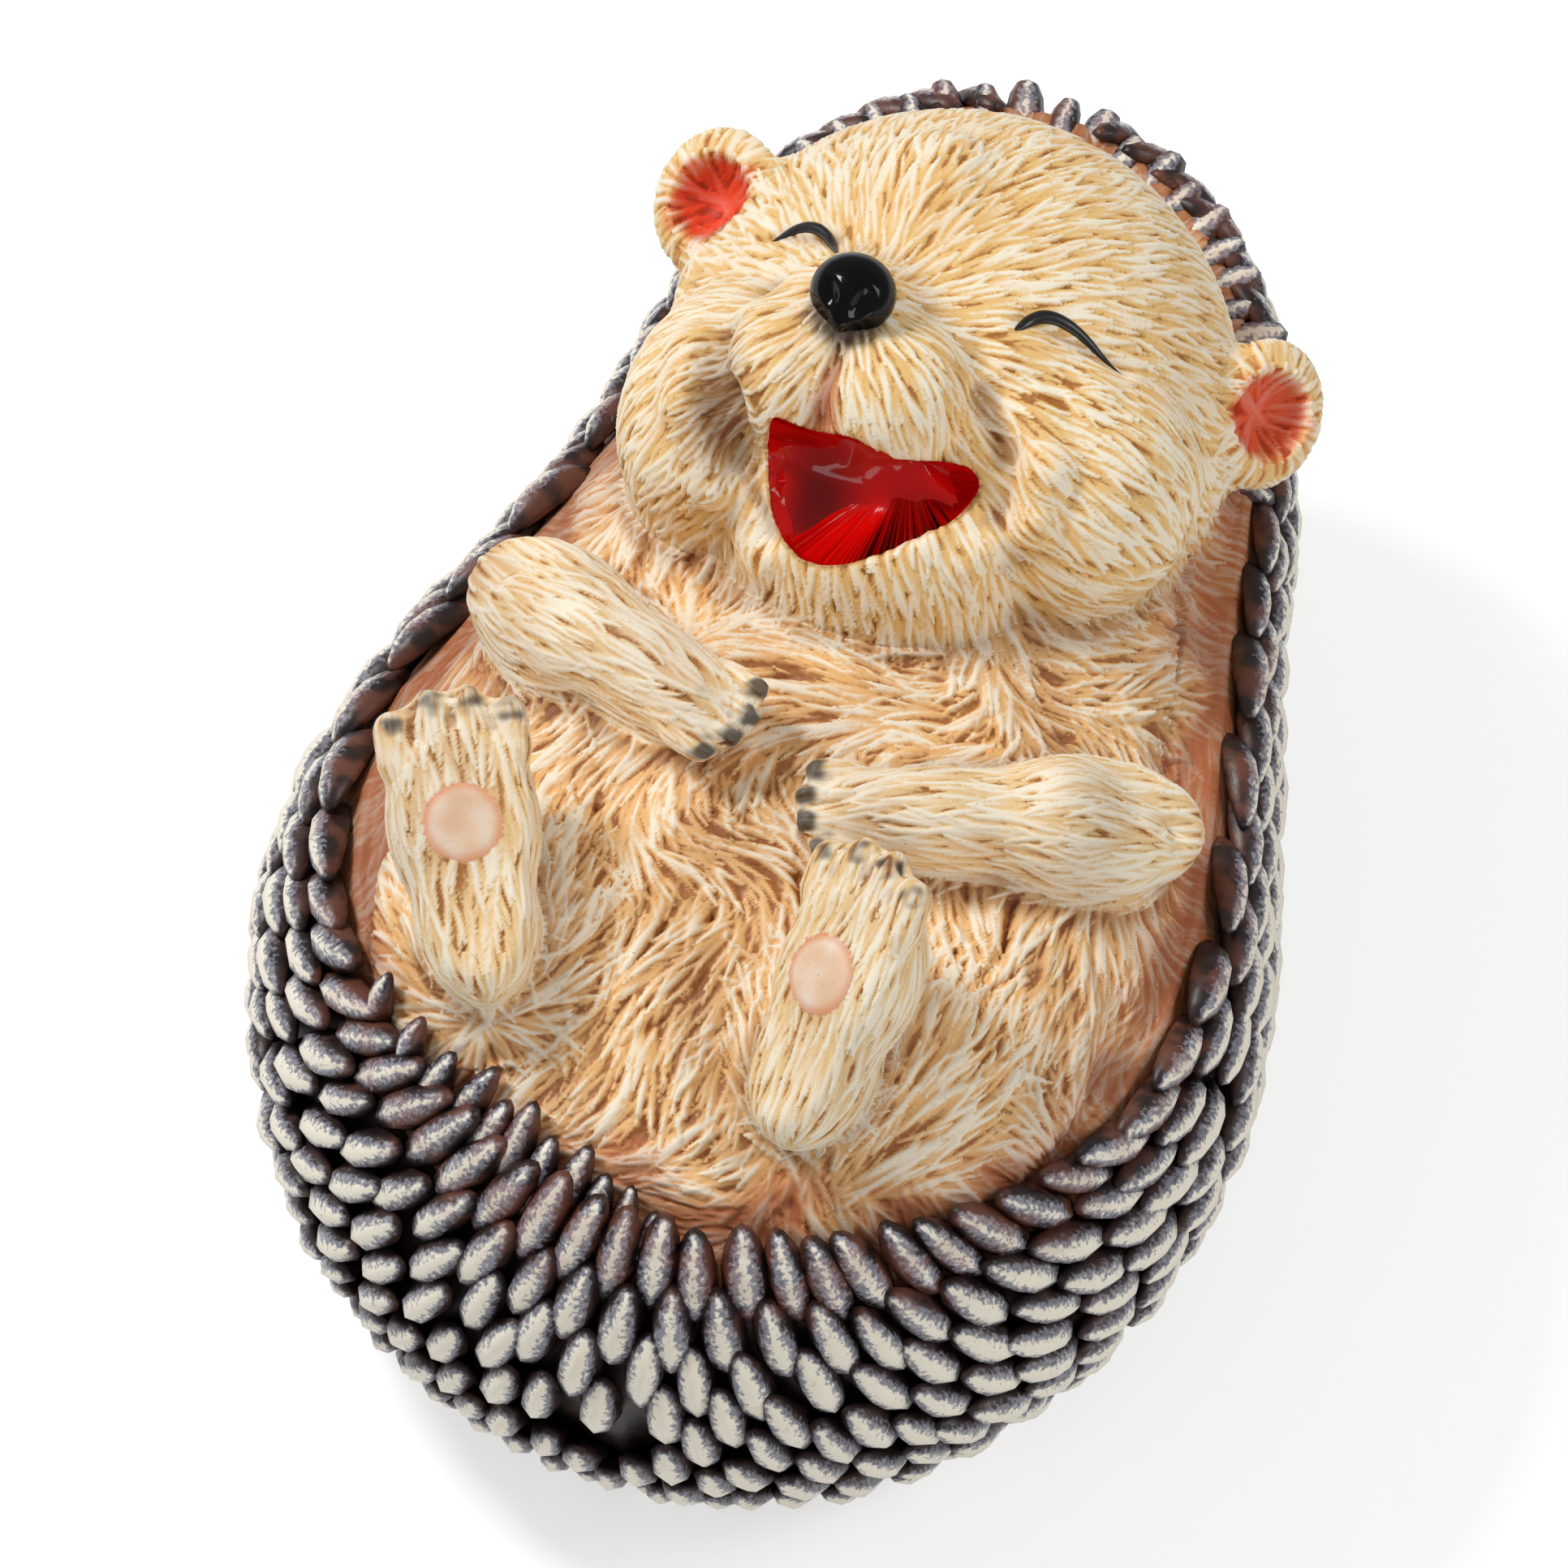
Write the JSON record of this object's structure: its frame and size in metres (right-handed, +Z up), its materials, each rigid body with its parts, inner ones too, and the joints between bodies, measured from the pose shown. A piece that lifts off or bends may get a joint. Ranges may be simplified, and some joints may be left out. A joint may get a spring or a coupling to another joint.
{
  "type": "hedgehog figurine",
  "caption": "Free-standing cast hedgehog ornament lying laughing on its back, with furred front, folded arms, raised feet and a coat of separate quills on a flat resting face.",
  "frame": {"origin": "under the middle of the overall box, on the resting face", "axes": "+Z up, +Y from the rump towards the head, +X to the right-hand side seen from the rump end"},
  "size_m": [0.1324, 0.199, 0.1209],
  "materials": {
    "dark_quill_skin": "satin dark brown paint",
    "painted_quills": "dark brown quills dry-brushed cream",
    "painted_fur": "cream fur with ochre and brown washes",
    "painted_ear": "cream rim, orange-red bowl",
    "pad_peach": "peach wash",
    "nose_black": "gloss black",
    "mouth_red": "gloss red",
    "line_black": "black brush line",
    "plug_putty": "matte filler"
  },
  "bodies": {
    "root": {"back_quills": "painted_quills", "base_plug": "plug_putty", "belly": "painted_fur", "crown_quills": "painted_quills", "head": "painted_fur", "left_arm": "painted_fur", "left_ear": "painted_ear", "left_eyelid_line": "line_black", "left_fingers": "painted_fur", "left_flank_quills": "painted_quills", "left_foot": "painted_fur", "left_haunch": "painted_fur", "left_sole_pad": "pad_peach", "left_toes": "painted_fur", "mouth_lining": "mouth_red", "muzzle": "painted_fur", "nape_quills": "painted_quills", "nose": "nose_black", "quill_coat": "dark_quill_skin", "right_arm": "painted_fur", "right_ear": "painted_ear", "right_eyelid_line": "line_black", "right_fingers": "painted_fur", "right_flank_quills": "painted_quills", "right_foot": "painted_fur", "right_haunch": "painted_fur", "right_sole_pad": "pad_peach", "right_toes": "painted_fur", "rump_quills": "painted_quills"}
  },
  "joints": []
}
